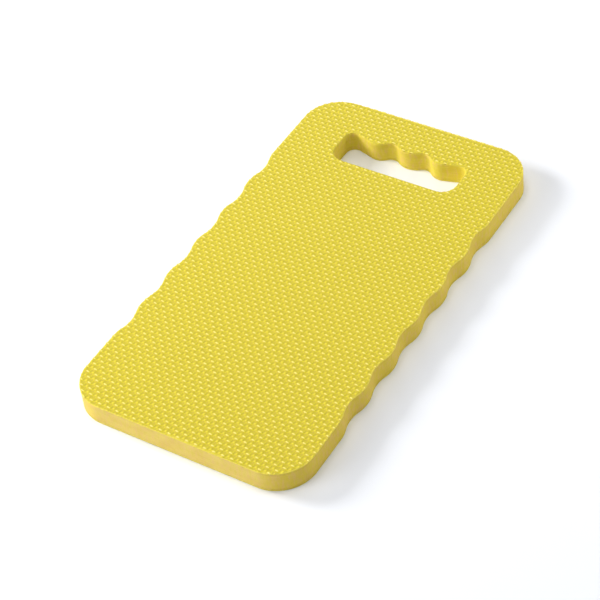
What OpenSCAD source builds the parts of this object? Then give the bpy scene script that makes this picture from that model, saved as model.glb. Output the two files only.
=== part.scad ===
// Kneeling pad: a flat slab of closed-cell foam to kneel on, with a hand slot cut through
// one end and shallow scallops along both long sides.
// Frame: the origin is the middle of the underside, +Z up, +Y towards the handle end, X
// across the pad. All sizes are in millimetres.

/* [Slab] */
// Overall length, from the plain end to the handle end
body_l = 400; // [380:5:440]
// Overall width, across the lobes of the long sides
body_w = 210; // [190:5:240]
// Overall thickness
body_h = 20; // [14:1:30]
// Radius of the four corners in plan
corner_r = 33; // [20:1:40]
// Thickness of the embossed top skin, and of the plain base skin
skin_t = 1.2; // [0.8:0.1:2]

/* [Side scallops] */
// Number of hollows along each long side
scallop_count = 6; // [3:1:6]
// Distance from one hollow to the next
scallop_pitch = 40.8; // [36:0.48:43.2]
// Middle of the row of hollows: distance from mid-length, negative towards the plain end
scallop_mid = -9; // [-12:0.5:0]

/* [Hand slot] */
// Length of the slot, across the pad
slot_l = 118; // [114:1:130]
// Distance from the handle end to the palm edge, which is straight
palm_y = 71; // [68:0.2:80]
// Radius of the slot corners at the palm edge
palm_r = 13; // [10:0.5:17]
// Width of the handle bar at the four finger hollows
bar_w = 33.4; // [30:0.2:36]
// Radius of the slot corners at the finger edge
finger_corner_r = 8; // [6:0.5:9]

/* [Hidden] */
$fn = 128;
half_l = body_l / 2;
half_w = body_w / 2;
core_t = body_h - 2 * skin_t;

// Hollows and lobes are arcs of one radius that run smoothly into each other. A quarter
// pitch, the rest of the radius and the radius are in the ratio 12 : 35 : 37, which is a
// right triangle, so the arcs meet at round numbers.
scallop_r = scallop_pitch * 37 / 48;
scallop_depth = scallop_pitch / 12;
// Where hollow and lobe meet, half way down
blend_x = half_w - scallop_depth / 2;
first_y = scallop_mid - scallop_pitch * (scallop_count - 1) / 2;
last_y = scallop_mid + scallop_pitch * (scallop_count - 1) / 2;

// The slot is drawn from its own zero: the centre line of the pad, at the top of the
// finger hollows. Its finger edge keeps one shape, that of a hand, on a pad of any size.
hollow_y = half_l - bar_w;
// Each arc of the finger edge as [centre, radius]: the foam bump between the middle
// fingers, the hollow for one of them, and the bump between that finger and the next
mid_bump = [[0, 12.1], 17.3];
hollow = [[15.6, -8.7], 8.7];
side_bump = [[31.2, 7.68], 13.92];
// Points where the hollow runs smoothly into the bump on each side of it
mid_touch = [10.38, -1.74];
side_touch = [21.6, -2.4];
// Direction square to the straight run from the side bump to the corner of the slot
run_side = [-0.28, 0.96];
run_from = side_bump[0] - side_bump[1] * run_side;
run_to_x = slot_l / 2 - finger_corner_r + finger_corner_r * run_side[0];
// Height of the end of that run, to a hundredth
run_to_y = round(100 * (run_from[1] - (run_to_x - run_from[0]) * run_side[0] / run_side[1])) / 100;
finger_corner = [run_to_x, run_to_y] - finger_corner_r * run_side;
palm_edge = bar_w - palm_y;
palm_corner = [slot_l / 2 - palm_r, palm_edge + palm_r];

// An outline is a list of arcs in order, anticlockwise, joined by straight lines. Each arc
// is [start, end, centre, bulge]: bulge 1 swells out of the outline, -1 is a hollow in it.

// The same arc on the other side of the centre line
function mirrored(arc) = [
    [-arc[1][0], arc[1][1]], [-arc[0][0], arc[0][1]], [-arc[2][0], arc[2][1]], arc[3]
];

// A list of arcs that starts on the +X side, completed with its mirror image
function both_sides(arcs) = concat(
    arcs, [for (i = [len(arcs) - 1:-1:0]) mirrored(arcs[i])]
);

// Corner points of an outline: where two arcs follow directly, their common point once
function corners(arcs) = [
    for (i = [0:len(arcs) - 1])
        let (before = arcs[(i + len(arcs) - 1) % len(arcs)])
        each norm(before[1] - arcs[i][0]) < 0.001 ? [arcs[i][1]] : [arcs[i][0], arcs[i][1]]
];

// The piece between an arc and its chord
module cap(arc) {
    r = norm(arc[0] - arc[2]);
    chord = arc[1] - arc[0];
    out = arc[3] * r * [chord[1], -chord[0]] / norm(chord);
    intersection() {
        translate(arc[2])
            circle(r);
        polygon([arc[0], arc[1], arc[1] + out, arc[0] + out]);
    }
}

module outline(arcs) {
    difference() {
        union() {
            polygon(corners(arcs));
            for (arc = arcs) {
                if (arc[3] > 0)
                    cap(arc);
            }
        }
        for (arc = arcs) {
            if (arc[3] < 0)
                cap(arc);
        }
    }
}

// Arcs of the +X side of the slab, from the plain end to the handle end
side_arcs = concat(
    [[[half_w - corner_r, -half_l], [half_w, corner_r - half_l],
      [half_w - corner_r, corner_r - half_l], 1]],
    [[[half_w, first_y - scallop_pitch / 2], [blend_x, first_y - scallop_pitch / 4],
      [half_w - scallop_r, first_y - scallop_pitch / 2], 1]],
    [for (i = [0:2 * scallop_count - 2])
        let (y = first_y + i * scallop_pitch / 2, lobe = i % 2)
        [[blend_x, y - scallop_pitch / 4], [blend_x, y + scallop_pitch / 4],
         [lobe == 1 ? half_w - scallop_r : half_w - scallop_depth + scallop_r, y],
         lobe == 1 ? 1 : -1]],
    [[[blend_x, last_y + scallop_pitch / 4], [half_w, last_y + scallop_pitch / 2],
      [half_w - scallop_r, last_y + scallop_pitch / 2], 1]],
    [[[half_w, half_l - corner_r], [half_w - corner_r, half_l],
      [half_w - corner_r, half_l - corner_r], 1]]
);

// Arcs of the +X half of the slot; the bump on the centre line belongs to both halves
slot_arcs = [
    [[palm_corner[0], palm_edge], [slot_l / 2, palm_corner[1]], palm_corner, 1],
    [[slot_l / 2, finger_corner[1]], [run_to_x, run_to_y], finger_corner, 1],
    [run_from, side_touch, side_bump[0], -1],
    [side_touch, mid_touch, hollow[0], 1],
    [mid_touch, mid_bump[0] - [0, mid_bump[1]], mid_bump[0], -1]
];

// Plan of the pad: one cut goes through all three layers
module pad_plan() {
    difference() {
        outline(both_sides(side_arcs));
        translate([0, hollow_y])
            outline(both_sides(slot_arcs));
    }
}

// Plain skin of the underside, which lies on the ground
module base_skin() {
    color([0.85, 0.78, 0.28])
        linear_extrude(skin_t)
            pad_plan();
}

// Closed-cell foam between the two skins; its cut edge is the side of the pad
module foam_core() {
    color([0.93, 0.83, 0.45])
        translate([0, 0, skin_t])
            linear_extrude(core_t)
                pad_plan();
}

// Skin of the kneeling face; its woven emboss rises and falls within this thickness
module top_skin() {
    color([0.9, 0.83, 0.2])
        translate([0, 0, body_h - skin_t])
            linear_extrude(skin_t)
                pad_plan();
}

base_skin();
foam_core();
top_skin();
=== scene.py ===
import math
from collections import namedtuple

import bmesh
import bpy
import numpy as np
from mathutils import Matrix, Vector, geometry, kdtree


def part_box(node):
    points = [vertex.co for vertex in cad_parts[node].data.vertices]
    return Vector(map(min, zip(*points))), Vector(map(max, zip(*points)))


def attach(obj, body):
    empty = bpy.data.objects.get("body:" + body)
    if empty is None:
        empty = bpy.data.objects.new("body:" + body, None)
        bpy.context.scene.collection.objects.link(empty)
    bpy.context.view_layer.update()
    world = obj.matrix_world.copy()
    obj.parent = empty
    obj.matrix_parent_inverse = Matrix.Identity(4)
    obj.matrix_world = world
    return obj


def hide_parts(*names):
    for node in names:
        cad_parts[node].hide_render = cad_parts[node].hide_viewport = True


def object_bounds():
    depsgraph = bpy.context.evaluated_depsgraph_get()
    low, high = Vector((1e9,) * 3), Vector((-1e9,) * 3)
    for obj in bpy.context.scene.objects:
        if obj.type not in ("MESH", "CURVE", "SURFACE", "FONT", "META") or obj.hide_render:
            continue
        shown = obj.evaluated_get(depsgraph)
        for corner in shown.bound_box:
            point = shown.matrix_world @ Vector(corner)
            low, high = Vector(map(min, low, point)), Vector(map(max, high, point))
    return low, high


# Looks of a foam kneeling pad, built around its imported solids. Shapes are worked out in
# millimetres in the frame of the part (+Z up, +Y towards the handle end, X across) and
# stored in metres.

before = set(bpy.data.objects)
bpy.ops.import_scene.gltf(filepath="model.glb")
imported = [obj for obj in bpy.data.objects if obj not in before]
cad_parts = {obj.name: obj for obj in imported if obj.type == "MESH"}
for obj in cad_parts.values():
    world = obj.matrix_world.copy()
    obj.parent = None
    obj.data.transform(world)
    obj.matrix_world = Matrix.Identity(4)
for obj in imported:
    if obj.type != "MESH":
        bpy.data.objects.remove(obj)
cad_low, cad_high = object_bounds()
MM = 0.001

# ---------------------------------------------------------------------------------------
# Sizes of the solids
# ---------------------------------------------------------------------------------------
HALF_W = cad_high.x / MM
HALF_L = cad_high.y / MM
TOP_Z = cad_high.z / MM
CORE_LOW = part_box("foam_core")[0].z / MM
CORE_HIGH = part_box("foam_core")[1].z / MM

CORNER_R = 33
SCALLOP_COUNT = 6
SCALLOP_PITCH = 40.8
SCALLOP_MID = -9
SCALLOP_DEPTH = SCALLOP_PITCH / 12
# Equal arcs that meet a quarter of the pitch from each crest and make that depth
SCALLOP_R = (SCALLOP_DEPTH ** 2 + SCALLOP_PITCH ** 2 / 4) / (4 * SCALLOP_DEPTH)

SLOT_HALF = 59
PALM_EDGE = HALF_L - 71
PALM_R = 13
HOLLOW_Y = HALF_L - 33.4
# Finger edge, each arc as (centre, radius), measured from the top of the hollows
MID_BUMP = ((0, 12.1), 17.3)
HOLLOW = ((15.6, -8.7), 8.7)
SIDE_BUMP = ((31.2, 7.68), 13.92)
MID_TOUCH = (10.38, -1.74)
SIDE_TOUCH = (21.6, -2.4)
# Unit direction square to the straight run from the side bump to the corner of the slot
RUN_SIDE = np.array((-0.28, 0.96))
SLOT_CORNER_R = 8

# Points along the two outlines, and points for measuring how far inside them a spot is
RIM_STEP = 0.9
FINE_STEP = 0.25
# Rounding of the top and bottom edges that the die leaves, and how much of the way down to
# the joint it may take where a pit of the weave meets the edge
TOP_LIP = 0.4
BASE_LIP = 0.35
LIP_STEPS = 4
LIP_SHARE = 0.8
# Cut side of the core: how far it is drawn in at mid height, and its levels of points
DRAWN_IN = 0.12
CUT_LEVELS = 9
# Painted highlight along the cut edge of the skin: how far inside the cut it starts, where it is
# full, and how much of it is missing in the slot
RIM_START = 0.65
RIM_FULL = 0.2
RIM_SLOT_LOSS = 0.6
# Painted tints of the cut side, in corner radii from the sides of the pad. The painted sheen on
# the plain end is full from 1 inwards and fades out over END_FADE. The painted shade at the -X
# corner of the plain end is full up to the first number and gone at the second.
END_FADE = 0.5
CORNER_SHADE_X = (0.2, 0.8)
CORNER_SHADE_Y = (0.4, 1.5)

# Woven emboss: distance between columns and between rows of the weave, the column and
# the row that the pattern is counted from, and the deepest point below the top plane
CELL_X = 4.077
CELL_Y = 4.562
FIRST_COLUMN = 1.9
FIRST_ROW = -1.7
EMBOSS_DEPTH = 0.95
# The weave lies about a degree askew to the cut, so the columns lean and the rows tilt. The
# rows also rise towards the long sides, and the columns close up towards +X.
COLUMN_LEAN = 0.0185
ROW_TILT = -0.0071
ROW_BOW = 0.00019
COLUMN_DRIFT = 0.000106
# Mesh columns and rows within one cell: the crests, shoulders and pits get a line each
COLUMN_LINES = (0.2, 1.22, 2.24, 3.26)
ROW_LINES = (0.5, 1.41, 2.32, 3.23, 4.14)
# Rounds of closing in on a point of the weave: each takes the error down at least tenfold
PLACING_ROUNDS = 12

# Plain underside: distance between the lines of its mesh, and the height and lengths of
# its faint waves
BASE_GRID = 3
BASE_WAVE = 0.06
BASE_WAVE_X = (11.3, 23.1)
BASE_WAVE_Y = (17.9, 13.7)


# ---------------------------------------------------------------------------------------
# Outlines
# ---------------------------------------------------------------------------------------
def arc_points(start, end, centre, bulge):
    """Points of an arc, anticlockwise for bulge 1 and clockwise for -1."""
    start, end, centre = (np.array(p, float) for p in (start, end, centre))
    radius = np.linalg.norm(start - centre)
    first, last = (math.atan2(*(p - centre)[::-1]) for p in (start, end))
    sweep = (last - first) * bulge % (2 * math.pi) * bulge
    count = max(2, math.ceil(radius * abs(sweep) / FINE_STEP))
    turn = first + np.linspace(0, 1, count + 1) * sweep
    return centre + radius * np.c_[np.cos(turn), np.sin(turn)]


def both_sides(arcs):
    """Closed anticlockwise outline from the arcs of its +X side."""
    right = np.vstack([arc_points(*arc) for arc in arcs])
    return np.vstack([right, right[::-1] * (-1, 1)])


def side_arcs():
    """Arcs of the +X side of the slab, from the plain end to the handle end."""
    first = SCALLOP_MID - SCALLOP_PITCH * (SCALLOP_COUNT - 1) / 2
    last = SCALLOP_MID + SCALLOP_PITCH * (SCALLOP_COUNT - 1) / 2
    half, quarter = SCALLOP_PITCH / 2, SCALLOP_PITCH / 4
    blend = HALF_W - SCALLOP_DEPTH / 2
    lobe_x = HALF_W - SCALLOP_R
    hollow_x = HALF_W - SCALLOP_DEPTH + SCALLOP_R
    inner_x, inner_y = HALF_W - CORNER_R, HALF_L - CORNER_R
    arcs = [((inner_x, -HALF_L), (HALF_W, -inner_y), (inner_x, -inner_y), 1)]
    arcs.append(((HALF_W, first - half), (blend, first - quarter), (lobe_x, first - half), 1))
    for i in range(2 * SCALLOP_COUNT - 1):
        y = first + i * half
        lobe = i % 2
        centre = (lobe_x if lobe else hollow_x, y)
        arcs.append(((blend, y - quarter), (blend, y + quarter), centre, 1 if lobe else -1))
    arcs.append(((blend, last + quarter), (HALF_W, last + half), (lobe_x, last + half), 1))
    arcs.append(((HALF_W, inner_y), (inner_x, HALF_L), (inner_x, inner_y), 1))
    return arcs


def slot_arcs():
    """Arcs of the +X half of the hand slot."""
    def at(point):
        return np.array(point, float) + (0, HOLLOW_Y)

    palm = np.array((SLOT_HALF - PALM_R, PALM_EDGE + PALM_R))
    run_from = np.array(SIDE_BUMP[0]) - SIDE_BUMP[1] * RUN_SIDE
    run_x = SLOT_HALF - SLOT_CORNER_R + SLOT_CORNER_R * RUN_SIDE[0]
    run_y = run_from[1] - (run_x - run_from[0]) * RUN_SIDE[0] / RUN_SIDE[1]
    corner = (run_x, run_y) - SLOT_CORNER_R * RUN_SIDE
    tip = (MID_BUMP[0][0], MID_BUMP[0][1] - MID_BUMP[1])
    return [
        ((palm[0], PALM_EDGE), (SLOT_HALF, palm[1]), palm, 1),
        (at((SLOT_HALF, corner[1])), at((run_x, run_y)), at(corner), 1),
        (at(run_from), at(SIDE_TOUCH), at(SIDE_BUMP[0]), -1),
        (at(SIDE_TOUCH), at(MID_TOUCH), at(HOLLOW[0]), 1),
        (at(MID_TOUCH), at(tip), at(MID_BUMP[0]), -1),
    ]


def resampled(points, step):
    """Evenly spaced points of a closed line, and the unit normals on its right."""
    closed = np.vstack([points, points[:1]])
    lengths = np.linalg.norm(np.diff(closed, axis=0), axis=1)
    closed = closed[np.r_[True, lengths > 1e-6]]
    along = np.r_[0, np.cumsum(np.linalg.norm(np.diff(closed, axis=0), axis=1))]
    count = round(along[-1] / step)
    at = np.linspace(0, along[-1], count, endpoint=False)
    even = np.c_[np.interp(at, along, closed[:, 0]), np.interp(at, along, closed[:, 1])]
    tangent = np.roll(even, -1, 0) - np.roll(even, 1, 0)
    tangent /= np.linalg.norm(tangent, axis=1)[:, None]
    return even, np.c_[tangent[:, 1], -tangent[:, 0]]


# Both outlines run with the foam on their left, so that the normals point out of it
OUTLINES = (both_sides(side_arcs()), both_sides(slot_arcs())[::-1])
RIMS = [resampled(points, RIM_STEP) for points in OUTLINES]


class Inside:
    """How far a spot in plan lies outside the foam: negative within it."""

    def __init__(self):
        points, normals = zip(*(resampled(o, FINE_STEP) for o in OUTLINES))
        self.points, self.normals = np.vstack(points), np.vstack(normals)
        self.tree = kdtree.KDTree(len(self.points))
        for i, p in enumerate(self.points):
            self.tree.insert((p[0], p[1], 0), i)
        self.tree.balance()

    def __call__(self, spots):
        near = np.array([self.tree.find((x, y, 0))[1] for x, y in spots])
        return ((spots - self.points[near]) * self.normals[near]).sum(1)


outside = Inside()


# ---------------------------------------------------------------------------------------
# Shape of the two faces
# ---------------------------------------------------------------------------------------
def unplaced(x, y):
    """Where a spot in plan falls in the weave."""
    u = x - FIRST_COLUMN - COLUMN_LEAN * y + COLUMN_DRIFT * x * x
    v = y - FIRST_ROW - ROW_TILT * x - ROW_BOW * x * x
    return u, v


def placed(u, v):
    """Spot in plan of a point of the weave, found by closing in on it."""
    x, y = u, v
    for _ in range(PLACING_ROUNDS):
        now_u, now_v = unplaced(x, y)
        x, y = x + u - now_u, y + v - now_v
    return x, y


# A raised strand of the weave: height of its top, half width that is flat, width and depth
# of the fall beside it, half length that is flat, depth of the fall at its ends, length of
# that fall at the low end and at the high end, and how far it turns from its axis
Strand = namedtuple("Strand", "top flat width depth end_flat end_depth low_end high_end turn")
# Weft strands lie along X, where column and row add up to an even number
WEFT = Strand(top=0.0, flat=0.3, width=1.05, depth=0.88, end_flat=1.4, end_depth=0.8,
              low_end=1.0, high_end=1.5, turn=0.1)
# The lower warp strands lie along Y, where they add up to an odd one: they come up close
# to the weft strand beyond them and sink slowly. They sit this far from their crossing.
WARP = Strand(top=-0.21, flat=0.15, width=0.9, depth=0.7, end_flat=0.5, end_depth=0.48,
              low_end=2.9, high_end=1.6, turn=0.26)
WARP_SHIFT = (0.15, 0.9)
# Height over which strands that cross run into each other
SOFTNESS = 0.04
# Painted shade on the slopes of the weave: the direction its slopes are measured in, the step it
# measures slopes over, and its range of slopes
SLOPE_SHADE_WAY = (0.6, 0.8)
SLOPE_SHADE_STEP = 0.3
SLOPE_SHADE_RANGE = 1.4


def fall(distance, flat, width):
    """From 0 on the flat of a strand to 1 beyond its side."""
    t = np.clip((np.abs(distance) - flat) / width, 0, 1)
    return (1 - np.cos(math.pi * t)) / 2


def strand_height(along, across, kind):
    """Height of one strand at a spot measured from its middle."""
    end = np.where(along < 0, kind.low_end, kind.high_end)
    side = kind.depth * fall(across + kind.turn * along, kind.flat, kind.width)
    return kind.top - side - kind.end_depth * fall(along, kind.end_flat, end)


def strands(u, v, odd, kind, lies_along_x):
    """Height of the highest strand of one kind."""
    i, j = np.round(u / CELL_X), np.round(v / CELL_Y)
    high = np.full(u.shape, -EMBOSS_DEPTH)
    for di, dj in ((0, 0), (1, 0), (-1, 0), (0, 1), (0, -1)):
        du, dv = u - (i + di) * CELL_X, v - (j + dj) * CELL_Y
        along, across = (du, dv) if lies_along_x else (dv, du)
        height = strand_height(along, across, kind)
        high = np.where((i + di + j + dj) % 2 == odd, np.maximum(high, height), high)
    return high


def weave(u, v):
    """Height in the weave: 0 at the highest crests and -EMBOSS_DEPTH in the pits."""
    weft = strands(u, v, 0, WEFT, True)
    warp = strands(u - WARP_SHIFT[0], v - WARP_SHIFT[1], 1, WARP, False)
    floor = np.full(u.shape, -EMBOSS_DEPTH)
    total = sum(np.exp(h / SOFTNESS) for h in (weft, warp, floor))
    return np.minimum(SOFTNESS * np.log(total), 0)


def top_height(x, y):
    """Kneeling face."""
    return TOP_Z + weave(*unplaced(x, y))


def base_height(x, y):
    """Underside: flat to about a tenth of a millimetre, as foam sheet is."""
    across = np.sin(x / BASE_WAVE_X[0] + np.sin(y / BASE_WAVE_Y[0]))
    along = np.sin(y / BASE_WAVE_Y[1] + np.sin(x / BASE_WAVE_X[1]))
    return BASE_WAVE + BASE_WAVE * (across * along)


def lines(low, high, cell, offsets):
    """Grid lines from low to high, at the same offsets in each cell."""
    cells = np.arange(math.floor(low / cell) - 1, math.ceil(high / cell) + 2)
    return (cells[:, None] * cell + np.array(offsets)[None]).ravel()


# ---------------------------------------------------------------------------------------
# Meshes
# ---------------------------------------------------------------------------------------
def mesh_object(name, verts, faces, attributes=()):
    mesh = bpy.data.meshes.new(name)
    mesh.from_pydata([Vector(v) * MM for v in verts], [], faces)
    mesh.polygons.foreach_set("use_smooth", [True] * len(mesh.polygons))
    for key, values in attributes:
        layer = mesh.attributes.new(key, "FLOAT", "POINT")
        layer.data.foreach_set("value", np.asarray(values, np.float32))
    mesh.update()
    mesh.validate()
    obj = bpy.data.objects.new(name, mesh)
    bpy.context.scene.collection.objects.link(obj)
    return obj


def ring_faces(first, second, count, flip):
    """Quads between two rings of the mesh, given by their first vertex."""
    faces = []
    for k in range(count):
        n = (k + 1) % count
        quad = (first + k, second + k, second + n, first + n)
        faces.append(quad if flip else quad[::-1])
    return faces


def deep_cells(spots, shape, reach):
    """Cells of a grid whose corners all lie further inside the outlines than reach."""
    deep = (outside(spots) < -reach).reshape(shape)
    return deep[:-1, :-1] & deep[1:, :-1] & deep[:-1, 1:] & deep[1:, 1:]


def cell_quads(cells, shape):
    """Corners of the cells of a grid, and the cell sides along their stepped border."""
    index = np.arange(math.prod(shape)).reshape(shape)
    i, j = np.nonzero(cells)
    quads = np.c_[index[i, j], index[i + 1, j], index[i + 1, j + 1], index[i, j + 1]]
    sides = np.sort(np.vstack([quads[:, [k, (k + 1) % 4]] for k in range(4)]), axis=1)
    sides, uses = np.unique(sides, axis=0, return_counts=True)
    return quads, sides[uses == 1]


def band_triangles(rings, spots, border, in_band):
    """Triangles from the rings to the stepped border of the grid. Their corners count
    along the rings and then along the spots of the border."""
    border_spots = np.unique(border)
    points = np.vstack(rings + [spots[border_spots]])
    edges, start = [], 0
    for ring in rings:
        count = len(ring)
        edges += [(start + k, start + (k + 1) % count) for k in range(count)]
        start += count
    local = {spot: start + k for k, spot in enumerate(border_spots)}
    edges += [(local[a], local[b]) for a, b in border]
    found = geometry.delaunay_2d_cdt([Vector(p) for p in points], edges, [], 1, 1e-5)
    if len(found[0]) != len(points):
        raise ValueError("the band between the grid and the edge made new points")
    source = [ids[0] for ids in found[3]]
    tris = np.array([[source[k] for k in tri] for tri in found[2]])
    return tris[in_band(points[tris].mean(axis=1))]


def add_edge(verts, faces, inner, rim_line, lip, joint_z, up):
    """Rounded edge outside the ring inner, given by (first vertex, points, heights), and
    the straight stretch down to joint_z. Gives the first vertex at the joint."""
    before, ring, ring_z = inner
    points, normals = rim_line
    count = len(points)
    drop = np.minimum(lip, LIP_SHARE * np.abs(ring_z - joint_z))
    for k in range(1, LIP_STEPS + 1):
        a = math.pi / 2 * k / LIP_STEPS
        now = len(verts)
        spot = ring + normals * lip * math.sin(a)
        verts += [tuple(q) for q in np.c_[spot, ring_z - up * drop * (1 - math.cos(a))]]
        faces += ring_faces(before, now, count, up > 0)
        before = now
    now = len(verts)
    verts += [tuple(q) for q in np.c_[points, np.full(count, joint_z)]]
    faces += ring_faces(before, now, count, up > 0)
    return now


def plate(name, u, v, place, unplace, height, lip, face_z, joint_z, attributes):
    """A skin: its outer face is a grid of heights cut to the outlines, with rounded edges
    that run down to joint_z, where it meets the core."""
    up = 1 if face_z > joint_z else -1
    rings = [p - n * lip for p, n in RIMS]
    xx, yy = place(*np.meshgrid(u, v, indexing="ij"))
    spots = np.c_[xx.ravel(), yy.ravel()]
    margin = min(np.diff(u).min(), np.diff(v).min()) / 2
    cells = deep_cells(spots, xx.shape, lip + margin)
    quads, border = cell_quads(cells, xx.shape)

    def in_band(middle):
        at_u, at_v = unplace(middle[:, 0], middle[:, 1])
        i = np.clip(np.searchsorted(u, at_u) - 1, 0, cells.shape[0] - 1)
        j = np.clip(np.searchsorted(v, at_v) - 1, 0, cells.shape[1] - 1)
        return ~cells[i, j] & (outside(middle) < -lip)

    tris = band_triangles(rings, spots, border, in_band)

    used = np.unique(quads)
    number = {spot: k for k, spot in enumerate(used)}
    flat = spots[used]
    verts = [tuple(p) for p in np.c_[flat, height(flat[:, 0], flat[:, 1])]]
    inner_rings, to_vert = [], []
    for ring in rings:
        ring_z = height(ring[:, 0], ring[:, 1])
        inner_rings.append((len(verts), ring, ring_z))
        to_vert += range(len(verts), len(verts) + len(ring))
        verts += [tuple(p) for p in np.c_[ring, ring_z]]
    to_vert += [number[spot] for spot in np.unique(border)]
    faces = [tuple(number[spot] for spot in quad) for quad in quads]
    faces += [tuple(to_vert[k] for k in tri) for tri in tris]
    if up < 0:
        faces = [f[::-1] for f in faces]

    joint_rings = []
    for inner, rim_line in zip(inner_rings, RIMS):
        first = add_edge(verts, faces, inner, rim_line, lip, joint_z, up)
        joint_rings.append((first, len(rim_line[0])))
    faces += cap_faces(joint_rings, up < 0)
    extra = [(key, fn(np.array(verts))) for key, fn in attributes]
    return mesh_object(name, verts, faces, extra)


def cap_faces(rings, upwards):
    """Flat triangles across both outlines, from their (first vertex, count)."""
    loops = [[Vector((*p, 0)) for p in points] for points, _ in RIMS]
    ids = [first + k for first, count in rings for k in range(count)]
    faces = []
    for tri in geometry.tessellate_polygon(loops):
        a, b, c = (loops[0][k] if k < len(loops[0]) else loops[1][k - len(loops[0])] for k in tri)
        turn = (b - a).cross(c - a).z
        if (turn > 0) != upwards:
            tri = tri[::-1]
        faces.append(tuple(ids[k] for k in tri))
    return faces


def foam_block(name, low, high):
    """The foam between the skins: cut sides, drawn in a little at mid height."""
    levels = np.linspace(low, high, CUT_LEVELS)
    verts, faces, ends = [], [], []
    for p, n in RIMS:
        before = None
        for z in levels:
            t = (2 * z - low - high) / (high - low)
            now = len(verts)
            spot = p - n * DRAWN_IN * (1 - t * t)
            verts += [tuple(q) for q in np.c_[spot, np.full(len(p), z)]]
            if before is None:
                bottom = (now, len(p))
            else:
                faces += ring_faces(before, now, len(p), False)
            before = now
        ends.append((bottom, (before, len(p))))
    faces += cap_faces([e[0] for e in ends], False)
    faces += cap_faces([e[1] for e in ends], True)
    spots = np.array(verts)
    marks = [("in_slot", in_slot(spots)), ("end_sheen", end_sheen(spots)),
             ("corner_shade", corner_shade(spots))]
    return mesh_object(name, verts, faces, marks)


# ---------------------------------------------------------------------------------------
# Materials
# ---------------------------------------------------------------------------------------
class Nodes:
    """Short way to write a node tree."""

    def __init__(self, name):
        self.material = bpy.data.materials.new(name)
        self.material.use_nodes = True
        self.tree = self.material.node_tree
        self.shader = self.tree.nodes["Principled BSDF"]

    def add(self, kind):
        return self.tree.nodes.new(kind)

    def join(self, output, target):
        self.tree.links.new(output, target)

    def noise(self, vector, scale, detail, rough):
        node = self.add("ShaderNodeTexNoise")
        node.inputs["Scale"].default_value = scale
        node.inputs["Detail"].default_value = detail
        node.inputs["Roughness"].default_value = rough
        self.join(vector, node.inputs["Vector"])
        return node.outputs["Fac"]

    def scaled(self, vector, x, y, z):
        node = self.add("ShaderNodeMapping")
        node.inputs["Scale"].default_value = (x, y, z)
        self.join(vector, node.inputs["Vector"])
        return node.outputs["Vector"]

    def map(self, value, from_a, from_b, to_a, to_b):
        node = self.add("ShaderNodeMapRange")
        node.inputs["From Min"].default_value = from_a
        node.inputs["From Max"].default_value = from_b
        node.inputs["To Min"].default_value = to_a
        node.inputs["To Max"].default_value = to_b
        self.join(value, node.inputs["Value"])
        return node.outputs["Result"]

    def ramp(self, value, stops):
        node = self.add("ShaderNodeValToRGB")
        elements = node.color_ramp.elements
        while len(elements) < len(stops):
            elements.new(0.5)
        for element, (position, colour) in zip(elements, stops):
            element.position = position
            element.color = (*colour, 1)
        self.join(value, node.inputs["Fac"])
        return node.outputs["Color"]

    def mix(self, factor, a, b):
        node = self.add("ShaderNodeMix")
        node.data_type = "RGBA"
        for socket, value in ((node.inputs["Factor"], factor), (node.inputs["A"], a),
                              (node.inputs["B"], b)):
            if isinstance(value, bpy.types.NodeSocket):
                self.join(value, socket)
            elif isinstance(value, tuple):
                socket.default_value = (*value, 1)
            else:
                socket.default_value = value
        return node.outputs["Result"]

    def math(self, kind, a, b):
        node = self.add("ShaderNodeMath")
        node.operation = kind
        for socket, value in zip(node.inputs, (a, b)):
            if isinstance(value, bpy.types.NodeSocket):
                self.join(value, socket)
            else:
                socket.default_value = value
        return node.outputs["Value"]

    def bump(self, height, strength, distance, below=None):
        node = self.add("ShaderNodeBump")
        node.inputs["Strength"].default_value = strength
        node.inputs["Distance"].default_value = distance
        self.join(height, node.inputs["Height"])
        if below is not None:
            self.join(below, node.inputs["Normal"])
        return node.outputs["Normal"]

    def place(self):
        return self.add("ShaderNodeTexCoord").outputs["Object"]

    def attribute(self, name):
        node = self.add("ShaderNodeAttribute")
        node.attribute_name = name
        return node.outputs["Fac"]


def srgb(r, g, b):
    """Linear colour from display values 0 to 255."""
    def one(c):
        c /= 255
        return c / 12.92 if c <= 0.04045 else ((c + 0.055) / 1.055) ** 2.4
    return tuple(one(c) for c in (r, g, b))


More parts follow.
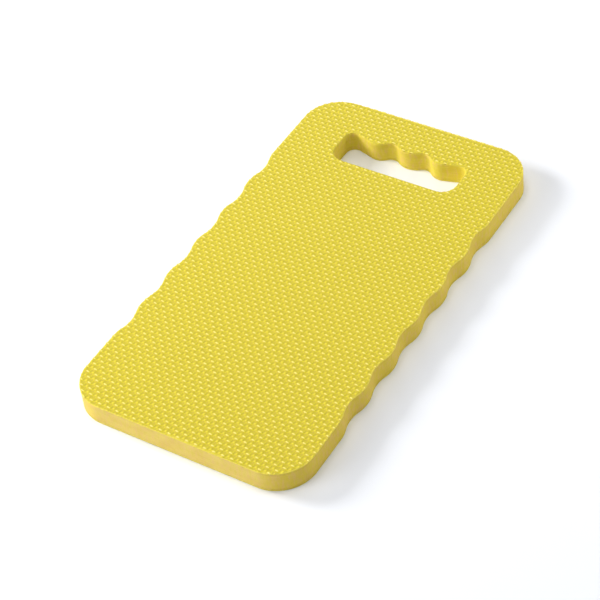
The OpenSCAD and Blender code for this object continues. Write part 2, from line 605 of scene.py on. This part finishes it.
def skin_material():
    """Embossed face: satin skin, glossier on the crests, with painted shade in the pits and on
    the slopes, a pale painted highlight on the crests and a painted highlight along the cut."""
    m = Nodes("embossed_skin")
    place = m.place()
    height = m.attribute("relief")
    shade_slope = m.attribute("slope_shade")
    # Painted shade: the colour by height darkens the pits of the weave.
    colour = m.ramp(height, [
        (0.0, srgb(174, 159, 0)),
        (0.3, srgb(212, 195, 2)),
        (0.7, srgb(232, 215, 4)),
    ])
    # Painted shade: a tan tint on the slopes that face away from the set direction and a deeper
    # olive on those that face it.
    colour = m.mix(m.map(shade_slope, 0.52, 0.85, 0.0, 0.9), colour, srgb(184, 158, 40))
    colour = m.mix(m.map(shade_slope, 0.35, 0.05, 0.0, 0.5), colour, srgb(178, 162, 0))
    # Painted highlight: a pale whitish tint on the crests of the weave.
    colour = m.mix(m.map(height, 0.76, 0.96, 0.0, 1.0), colour, srgb(240, 225, 116))
    cloud = m.noise(place, 38, 3, 0.55)
    colour = m.mix(m.map(cloud, 0.3, 0.7, 0.0, 0.10), colour, srgb(206, 188, 34))
    grain = m.noise(place, 2600, 2, 0.6)
    colour = m.mix(m.map(grain, 0.35, 0.7, 0.0, 0.16), colour, srgb(236, 222, 96))
    # Painted highlight: a paler tint along the cut edge of the skin.
    cut = m.attribute("edge_highlight")
    colour = m.mix(m.map(cut, 0.0, 1.0, 0.0, 0.66), colour, srgb(245, 227, 94))
    m.join(colour, m.shader.inputs["Base Color"])
    rough = m.map(height, 0.5, 1.0, 0.75, 0.42)
    m.join(m.math("ADD", rough, m.map(grain, 0, 1, -0.05, 0.05)), m.shader.inputs["Roughness"])
    m.join(m.bump(grain, 0.25, 0.00012), m.shader.inputs["Normal"])
    m.shader.inputs["IOR"].default_value = 1.35
    return m.material


def cut_material():
    """Knife-cut foam: matt, with fine cells, blotches, flecks and faint level streaks from the
    blade. The wall of the slot is more strongly coloured and streaked. The outer side has a pale
    painted sheen at the plain end and a dull painted shade at the -X corner of the plain end."""
    m = Nodes("cut_foam")
    place = m.place()
    slot = m.attribute("in_slot")
    split = m.add("ShaderNodeSeparateXYZ")
    m.join(place, split.inputs["Vector"])
    level = m.map(split.outputs["Z"], CORE_LOW * MM, CORE_HIGH * MM, 0, 1)
    outer = m.ramp(level, [
        (0.0, srgb(230, 204, 74)),
        (0.3, srgb(229, 203, 76)),
        (1.0, srgb(229, 203, 78)),
    ])
    # Painted sheen: a paler tint on the outer side where it faces the plain end.
    outer = m.mix(m.attribute("end_sheen"), outer, srgb(237, 211, 112))
    # Painted shade: a duller tint at the -X corner of the plain end.
    outer = m.mix(m.attribute("corner_shade"), outer, srgb(202, 172, 104))
    colour = m.mix(slot, outer, srgb(225, 209, 72))
    cells = m.add("ShaderNodeTexVoronoi")
    cells.inputs["Scale"].default_value = 1700
    m.join(place, cells.inputs["Vector"])
    pores = cells.outputs["Distance"]
    colour = m.mix(m.map(pores, 0.1, 0.6, 0.2, 0.0), colour, srgb(212, 186, 70))
    blotch = m.noise(m.scaled(place, 70, 70, 110), 1, 3, 0.6)
    colour = m.mix(m.map(blotch, 0.4, 0.7, 0.0, 0.5), colour, srgb(224, 188, 92))
    fleck = m.noise(m.scaled(place, 420, 420, 150), 1, 2, 0.5)
    colour = m.mix(m.map(fleck, 0.35, 0.5, 0.3, 0.0), colour, srgb(222, 202, 40))
    colour = m.mix(m.map(fleck, 0.5, 0.65, 0.0, 0.35), colour, srgb(232, 192, 128))
    streaks = m.noise(m.scaled(place, 20, 20, 1300), 1, 3, 0.6)
    marks = m.map(streaks, 0.45, 0.62, 0.0, 1.0)
    amount = m.map(slot, 0.0, 1.0, 0.12, 0.2)
    colour = m.mix(m.math("MULTIPLY", marks, amount), colour, srgb(196, 172, 40))
    m.join(colour, m.shader.inputs["Base Color"])
    m.shader.inputs["Roughness"].default_value = 0.85
    m.shader.inputs["IOR"].default_value = 1.4
    pitted = m.bump(pores, 0.35, 0.0002)
    m.join(m.bump(streaks, 0.35, 0.0004, pitted), m.shader.inputs["Normal"])
    return m.material


def base_material():
    """Underside: plain matt skin with fine pores."""
    m = Nodes("base_skin_foam")
    place = m.place()
    grain = m.noise(place, 1500, 3, 0.6)
    cloud = m.noise(place, 30, 2, 0.5)
    colour = m.mix(m.map(cloud, 0.3, 0.7, 0, 0.25), srgb(226, 210, 70), srgb(216, 198, 56))
    colour = m.mix(m.map(grain, 0.3, 0.7, 0.0, 0.2), colour, srgb(236, 222, 104))
    m.join(colour, m.shader.inputs["Base Color"])
    m.join(m.map(grain, 0, 1, 0.55, 0.75), m.shader.inputs["Roughness"])
    m.shader.inputs["IOR"].default_value = 1.45
    m.join(m.bump(grain, 0.3, 0.00015), m.shader.inputs["Normal"])
    return m.material


def floor_material():
    """Matt white, a little bluish."""
    m = Nodes("floor_white")
    m.shader.inputs["Base Color"].default_value = (0.90, 0.92, 0.965, 1)
    m.shader.inputs["Roughness"].default_value = 0.9
    m.shader.inputs["Specular IOR Level"].default_value = 0.0
    return m.material


# ---------------------------------------------------------------------------------------
# The pad
# ---------------------------------------------------------------------------------------
def relief(verts):
    """0 in the pits and 1 on the crests of the weave."""
    return np.clip(weave(*unplaced(verts[:, 0], verts[:, 1])) / EMBOSS_DEPTH + 1, 0, 1)


def slope_shade(verts):
    """Mask of the painted shade on the slopes of the weave: 0 on the slopes that face the set
    direction, 1 on those that face away from it.
    """
    x, y = verts[:, 0], verts[:, 1]
    dx, dy = SLOPE_SHADE_STEP * SLOPE_SHADE_WAY[0], SLOPE_SHADE_STEP * SLOPE_SHADE_WAY[1]
    shade_slope = (top_height(x + dx, y + dy) - top_height(x - dx, y - dy)) / (2 * SLOPE_SHADE_STEP)
    return np.clip(0.5 + shade_slope / SLOPE_SHADE_RANGE, 0, 1)


def edge_highlight(verts):
    """Mask of the painted highlight: 1 on the outer cut edge of the skin, less in the slot, 0 on
    its face.
    """
    near = np.clip(1 + (outside(verts[:, :2]) + RIM_FULL) / (RIM_START - RIM_FULL), 0, 1)
    return near * (1 - RIM_SLOT_LOSS * in_slot(verts))


def end_sheen(verts):
    """Mask of the painted sheen: 1 on the part of the outer side that faces the plain end."""
    x, y = np.abs(verts[:, 0]), verts[:, 1]
    fade = CORNER_R * END_FADE
    facing = (HALF_W - (CORNER_R - fade) - x) / fade
    return np.where(y < -HALF_L + CORNER_R, np.clip(facing, 0, 1), 0)


def corner_shade(verts):
    """Mask of the painted shade: 1 at the -X corner of the plain end, where the cut side is
    darkened, 0 elsewhere.
    """
    def fading(distance, full, gone):
        return np.clip((gone - distance / CORNER_R) / (gone - full), 0, 1)

    return fading(verts[:, 0] + HALF_W, *CORNER_SHADE_X) * fading(verts[:, 1] + HALF_L, *CORNER_SHADE_Y)


def in_slot(verts):
    """1 on the wall of the hand slot, 0 on the outer side."""
    inner = RIMS[1][0]
    low, high = inner.min(0) - 1, inner.max(0) + 1
    return ((verts[:, :2] > low) & (verts[:, :2] < high)).all(1).astype(float)


def straight(x, y):
    """Placing of a grid that isn't part of the weave."""
    return x, y


def finished(piece, node, material):
    """Gives a piece its material and ties it to the frame in place of its node."""
    piece.data.materials.append(material)
    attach(piece, "root")
    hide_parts(node)


def make_pad():
    u = lines(-HALF_W, HALF_W, CELL_X, COLUMN_LINES)
    v = lines(-HALF_L, HALF_L, CELL_Y, ROW_LINES)
    top = plate("woven_top_skin", u, v, placed, unplaced, top_height, TOP_LIP,
                TOP_Z, CORE_HIGH, [("relief", relief), ("slope_shade", slope_shade), ("edge_highlight", edge_highlight)])
    finished(top, "top_skin", skin_material())

    core = foam_block("cut_foam_core", CORE_LOW, CORE_HIGH)
    finished(core, "foam_core", cut_material())

    grid_x = lines(-HALF_W, HALF_W, BASE_GRID, (0,))
    grid_y = lines(-HALF_L, HALF_L, BASE_GRID, (0,))
    base = plate("plain_base_skin", grid_x, grid_y, straight, straight, base_height, BASE_LIP,
                 0, CORE_LOW, [])
    finished(base, "base_skin", base_material())


# ---------------------------------------------------------------------------------------
# Floor, light and camera
# ---------------------------------------------------------------------------------------
# Radius of the floor, and how far it lies below the pad
FLOOR_R = 4
FLOOR_GAP = 0.05 * MM


def make_floor():
    bm = bmesh.new()
    bmesh.ops.create_circle(bm, cap_ends=True, segments=96, radius=FLOOR_R)
    mesh = bpy.data.meshes.new("floor")
    bm.to_mesh(mesh)
    bm.free()
    floor = bpy.data.objects.new("floor", mesh)
    floor.location.z = cad_low.z - FLOOR_GAP
    floor.data.materials.append(floor_material())
    bpy.context.scene.collection.objects.link(floor)


def softbox(name, azimuth, elevation, distance, side, power, sheen_only=False):
    """Square area light that points at the pad. Azimuth 0 is beyond the plain end (-Y), and
    90 is towards +X. A sheen-only light shows in glossy surfaces and lights nothing else."""
    a, e = math.radians(azimuth), math.radians(elevation)
    away = Vector((math.sin(a) * math.cos(e), -math.cos(a) * math.cos(e), math.sin(e)))
    data = bpy.data.lights.new(name, "AREA")
    data.shape = "SQUARE"
    data.size, data.energy = side, power
    light = bpy.data.objects.new(name, data)
    light.location = away * distance
    light.rotation_euler = away.to_track_quat("Z", "Y").to_euler()
    light.visible_diffuse = not sheen_only
    bpy.context.scene.collection.objects.link(light)


def make_light():
    world = bpy.data.worlds.new("studio")
    world.use_nodes = True
    background = world.node_tree.nodes["Background"]
    background.inputs["Color"].default_value = (1, 1, 1, 1)
    background.inputs["Strength"].default_value = 0.27
    bpy.context.scene.world = world
    softbox("key_left", -81, 26, 2.0, 0.6, 35)
    softbox("overhead", 0, 88, 2.0, 1.0, 12)
    softbox("back_left", -143, 58, 3.0, 1.3, 7)
    softbox("front_left_fill", -38, 26, 2.5, 1.2, 22)
    softbox("back_right_fill", 134, 24, 1.0, 0.6, 2.9)
    softbox("sheen_card", -140, 48, 2.2, 0.9, 60, sheen_only=True)


# Place of the camera and the spot it looks at in metres, its roll in degrees, and its
# lens in millimetres
CAMERA_AT = Vector((0.7032, -0.9609, 1.1643))
CAMERA_TO = Vector((0.0044, -0.0241, 0.010))
CAMERA_ROLL = -7.81
CAMERA_LENS = 122.07


def make_camera():
    data = bpy.data.cameras.new("camera")
    data.lens, data.sensor_width = CAMERA_LENS, 36
    data.clip_start, data.clip_end = 0.1, 20
    camera = bpy.data.objects.new("camera", data)
    back = CAMERA_AT - CAMERA_TO
    turn = back.to_track_quat("Z", "Y").to_matrix().to_4x4()
    camera.matrix_world = (
        Matrix.Translation(CAMERA_AT) @ turn @ Matrix.Rotation(math.radians(CAMERA_ROLL), 4, "Z")
    )
    bpy.context.scene.collection.objects.link(camera)
    bpy.context.scene.camera = camera


make_pad()
make_floor()
make_light()
make_camera()
bpy.context.scene.view_settings.view_transform = "Standard"
